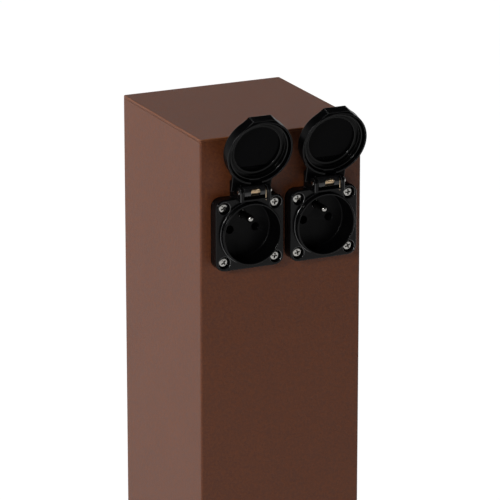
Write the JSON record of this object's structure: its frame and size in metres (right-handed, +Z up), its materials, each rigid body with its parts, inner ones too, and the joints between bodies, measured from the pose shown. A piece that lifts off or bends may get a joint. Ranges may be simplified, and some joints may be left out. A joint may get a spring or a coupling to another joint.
{
  "type": "garden socket post",
  "caption": "Upright sheet-metal garden post with panel power sockets under hinged, sealed lids near its top and a foot for anchors.",
  "frame": {"origin": "middle of the anchor holes on the foot's underside, on the ground", "axes": "+Z up along the post, -Y out of the face with the sockets, +X to the right when one looks at the sockets"},
  "size_m": [0.1264, 0.1617, 0.519],
  "materials": {
    "post_paint": "fine-textured matt powder coat",
    "black_moulding": "satin moulding",
    "inner_moulding": "matt moulding",
    "block_moulding": "satin moulding",
    "gasket_rubber": "matt soft rubber",
    "bright_steel": "bright plated",
    "zinc_sheet": "zinc-plated",
    "brass": "bare",
    "spring_brass": "drawn wire, yellow passivated",
    "brown_insulation": "soft plastic",
    "blue_insulation": "soft plastic",
    "green_insulation": "soft plastic"
  },
  "bodies": {
    "post": {"post_tube": "post_paint", "top_plate": "post_paint", "base_foot": "zinc_sheet", "foot_screws": "bright_steel", "foot_nuts": "zinc_sheet", "terminal_bracket": "zinc_sheet", "terminal_block": "block_moulding", "terminal_sleeves": "brass", "clamp_screws": "bright_steel", "fixing_screws": "bright_steel", "earth_stud": "bright_steel", "earth_lug": "bright_steel", "earth_washer": "bright_steel", "earth_nut": "bright_steel", "feed_line": "brown_insulation", "feed_neutral": "blue_insulation", "feed_earth": "green_insulation", "link_line": "brown_insulation", "link_neutral": "blue_insulation", "link_earth": "green_insulation", "bond_wire": "green_insulation", "flange_gasket_left": "gasket_rubber", "socket_housing_left": "black_moulding", "contact_block_left": "inner_moulding", "earth_pin_left": "bright_steel", "line_contact_left": "brass", "neutral_contact_left": "brass", "terminal_screws_left": "bright_steel", "block_screws_left": "bright_steel", "shutter_spring_left": "bright_steel", "flange_screws_left": "bright_steel", "flange_washers_left": "zinc_sheet", "flange_nuts_left": "zinc_sheet", "hinge_pin_left": "bright_steel", "hinge_spring_left": "spring_brass", "flange_gasket_right": "gasket_rubber", "socket_housing_right": "black_moulding", "contact_block_right": "inner_moulding", "earth_pin_right": "bright_steel", "line_contact_right": "brass", "neutral_contact_right": "brass", "terminal_screws_right": "bright_steel", "block_screws_right": "bright_steel", "shutter_spring_right": "bright_steel", "flange_screws_right": "bright_steel", "flange_washers_right": "zinc_sheet", "flange_nuts_right": "zinc_sheet", "hinge_pin_right": "bright_steel", "hinge_spring_right": "spring_brass"},
    "lid_left": {"lid_left": "black_moulding", "lid_seal_left": "gasket_rubber"},
    "lid_right": {"lid_right": "black_moulding", "lid_seal_right": "gasket_rubber"},
    "shutter_left": {"shutter_left": "inner_moulding"},
    "shutter_right": {"shutter_right": "inner_moulding"}
  },
  "joints": [
    {"name": "lid_left_hinge", "type": "hinge", "parent": "post", "child": "lid_left", "pos_m": [-0.0275, -0.0798, 0.4647], "axis": [1, 0, 0], "range_deg": [0, 165], "deforming": ["hinge_spring_left"]},
    {"name": "shutter_left_slide", "type": "slide", "parent": "post", "child": "shutter_left", "axis": [0, 0, -1], "range_m": [0, 0.006], "stiffness_N_per_m": 20, "springref_m": -0.002, "deforming": ["shutter_spring_left"]},
    {"name": "lid_right_hinge", "type": "hinge", "parent": "post", "child": "lid_right", "pos_m": [0.0275, -0.0798, 0.4647], "axis": [1, 0, 0], "range_deg": [0, 165], "deforming": ["hinge_spring_right"]},
    {"name": "shutter_right_slide", "type": "slide", "parent": "post", "child": "shutter_right", "axis": [0, 0, -1], "range_m": [0, 0.006], "stiffness_N_per_m": 20, "springref_m": -0.002, "deforming": ["shutter_spring_right"]}
  ]
}
